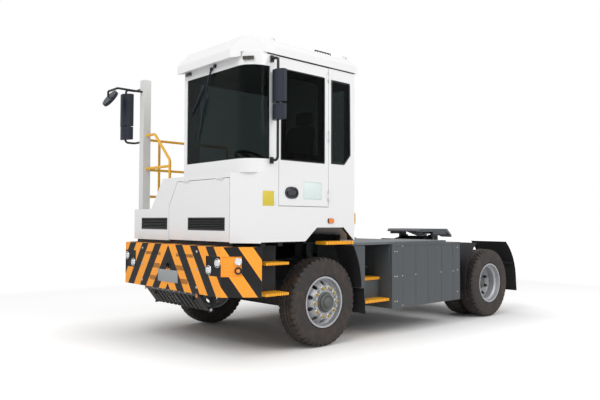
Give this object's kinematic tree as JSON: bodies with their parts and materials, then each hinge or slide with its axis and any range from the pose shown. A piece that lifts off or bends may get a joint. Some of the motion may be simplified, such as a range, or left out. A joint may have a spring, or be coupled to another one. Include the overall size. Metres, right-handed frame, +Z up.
{
  "type": "electric terminal tractor",
  "caption": "Yard tractor with an offset cab, a chamfered striped bumper, side battery boxes and a lifting fifth-wheel boom.",
  "frame": {"origin": "on the ground, at the middle of the whole vehicle's length and width", "axes": "+Z up, the front faces -Y, the vehicle's left side is +X"},
  "size_m": [3.0002, 5.7719, 3.432],
  "materials": {
    "body_white": "gloss paint",
    "bumper_stripes": "striped paint",
    "safety_yellow": "satin paint",
    "frame_black": "satin paint",
    "box_grey": "satin paint",
    "tyre_rubber": "matt",
    "rim_silver": "silver paint",
    "axle_iron": "painted casting",
    "glass_dark": "tinted",
    "post_aluminium": "extruded",
    "mirror_black": "grained",
    "guard_black": "moulded",
    "lamp_clear": "clear lens",
    "seat_fabric": "woven",
    "dash_plastic": "grained",
    "rod_chrome": "polished",
    "plate_steel": "greased steel"
  },
  "bodies": {
    "chassis": {"chassis_frame": "frame_black", "front_bumper": "bumper_stripes", "front_guard": "frame_black", "lamps": "lamp_clear", "step_frames": "frame_black", "step_treads": "safety_yellow", "mudguards": "guard_black", "battery_boxes": "box_grey", "deck_plates": "box_grey", "front_axle": "axle_iron", "rear_axle": "axle_iron", "drive_motor": "axle_iron", "body_mounts": "frame_black", "nose_panel": "body_white", "right_deck": "body_white", "cab_floor": "frame_black", "cab_left_wall": "body_white", "cab_right_wall": "body_white", "cab_rear_wall": "body_white", "cab_front": "body_white", "cab_roof": "body_white", "windshield": "glass_dark", "cab_glass": "glass_dark", "seat": "seat_fabric", "dashboard": "dash_plastic", "steering_wheel": "dash_plastic", "mirror_arms": "post_aluminium", "mirror_heads": "mirror_black", "handrails": "safety_yellow"},
    "cab_door": {"cab_door": "body_white", "door_glass": "glass_dark"},
    "rear_door": {"rear_door": "body_white", "rear_door_glass": "glass_dark"},
    "hood_flap": {"hood_flap": "body_white"},
    "knuckle_left": {"knuckle_left": "axle_iron"},
    "knuckle_right": {"knuckle_right": "axle_iron"},
    "track_rod": {"track_rod": "axle_iron"},
    "wheel_front_left": {"tyre_front_left": "tyre_rubber", "rim_front_left": "rim_silver"},
    "wheel_front_right": {"tyre_front_right": "tyre_rubber", "rim_front_right": "rim_silver"},
    "wheel_rear_left": {"tyre_rear_left": "tyre_rubber", "rim_rear_left": "rim_silver"},
    "wheel_rear_right": {"tyre_rear_right": "tyre_rubber", "rim_rear_right": "rim_silver"},
    "lift_boom": {"lift_boom": "frame_black"},
    "lift_barrels": {"lift_barrels": "frame_black"},
    "lift_rods": {"lift_rods": "rod_chrome"},
    "fifth_wheel": {"fifth_wheel": "plate_steel"}
  },
  "joints": [
    {"name": "cab_door_hinge", "type": "hinge", "parent": "chassis", "child": "cab_door", "pos_m": [1.316, -1.419, 2.4], "axis": [0, 0, 1], "range_deg": [0, 80]},
    {"name": "rear_door_slide", "type": "slide", "parent": "chassis", "child": "rear_door", "axis": [-1, 0, 0], "range_m": [0, 0.54]},
    {"name": "hood_flap_hinge", "type": "hinge", "parent": "chassis", "child": "hood_flap", "pos_m": [0.53, -2.611, 1.888], "axis": [-1, 0, 0], "range_deg": [0, 75]},
    {"name": "steer_left", "type": "hinge", "parent": "chassis", "child": "knuckle_left", "pos_m": [0.92, -1.382, 0.51], "axis": [0, 0, 1], "range_deg": [-32, 32]},
    {"name": "steer_right", "type": "hinge", "parent": "chassis", "child": "knuckle_right", "pos_m": [-0.92, -1.382, 0.51], "axis": [0, 0, 1], "range_deg": [-32, 32]},
    {"name": "track_rod_eye", "type": "hinge", "parent": "knuckle_left", "child": "track_rod", "pos_m": [0.92, -1.177, 0.37], "axis": [0, 0, 1], "range_deg": [-32, 32]},
    {"name": "spin_front_left", "type": "hinge", "parent": "knuckle_left", "child": "wheel_front_left", "pos_m": [1.087, -1.382, 0.51], "axis": [1, 0, 0], "continuous": true},
    {"name": "spin_front_right", "type": "hinge", "parent": "knuckle_right", "child": "wheel_front_right", "pos_m": [-1.087, -1.382, 0.51], "axis": [1, 0, 0], "continuous": true},
    {"name": "spin_rear_left", "type": "hinge", "parent": "chassis", "child": "wheel_rear_left", "pos_m": [0.965, 2.118, 0.51], "axis": [1, 0, 0], "continuous": true},
    {"name": "spin_rear_right", "type": "hinge", "parent": "chassis", "child": "wheel_rear_right", "pos_m": [-0.965, 2.118, 0.51], "axis": [1, 0, 0], "continuous": true},
    {"name": "boom_lift", "type": "hinge", "parent": "chassis", "child": "lift_boom", "pos_m": [0, 0.768, 0.88], "axis": [1, 0, 0], "range_deg": [0, 20]},
    {"name": "barrel_tilt", "type": "hinge", "parent": "chassis", "child": "lift_barrels", "pos_m": [0, 1.568, 0.575], "axis": [1, 0, 0], "range_deg": [0, 15.6]},
    {"name": "rod_slide", "type": "slide", "parent": "lift_barrels", "child": "lift_rods", "axis": [0, 0.3194, 0.9476], "range_m": [0, 0.2935]},
    {"name": "plate_tilt", "type": "hinge", "parent": "lift_boom", "child": "fifth_wheel", "pos_m": [0, 1.995, 1.17], "axis": [1, 0, 0], "range_deg": [-12, 12]}
  ],
  "couplings": [
    {"joint": "steer_right", "follows": "steer_left", "ratio": 1},
    {"joint": "track_rod_eye", "follows": "steer_left", "ratio": -1},
    {"joint": "barrel_tilt", "follows": "boom_lift", "ratio": 0.775},
    {"joint": "rod_slide", "follows": "boom_lift", "m_per_rad": 0.84}
  ]
}
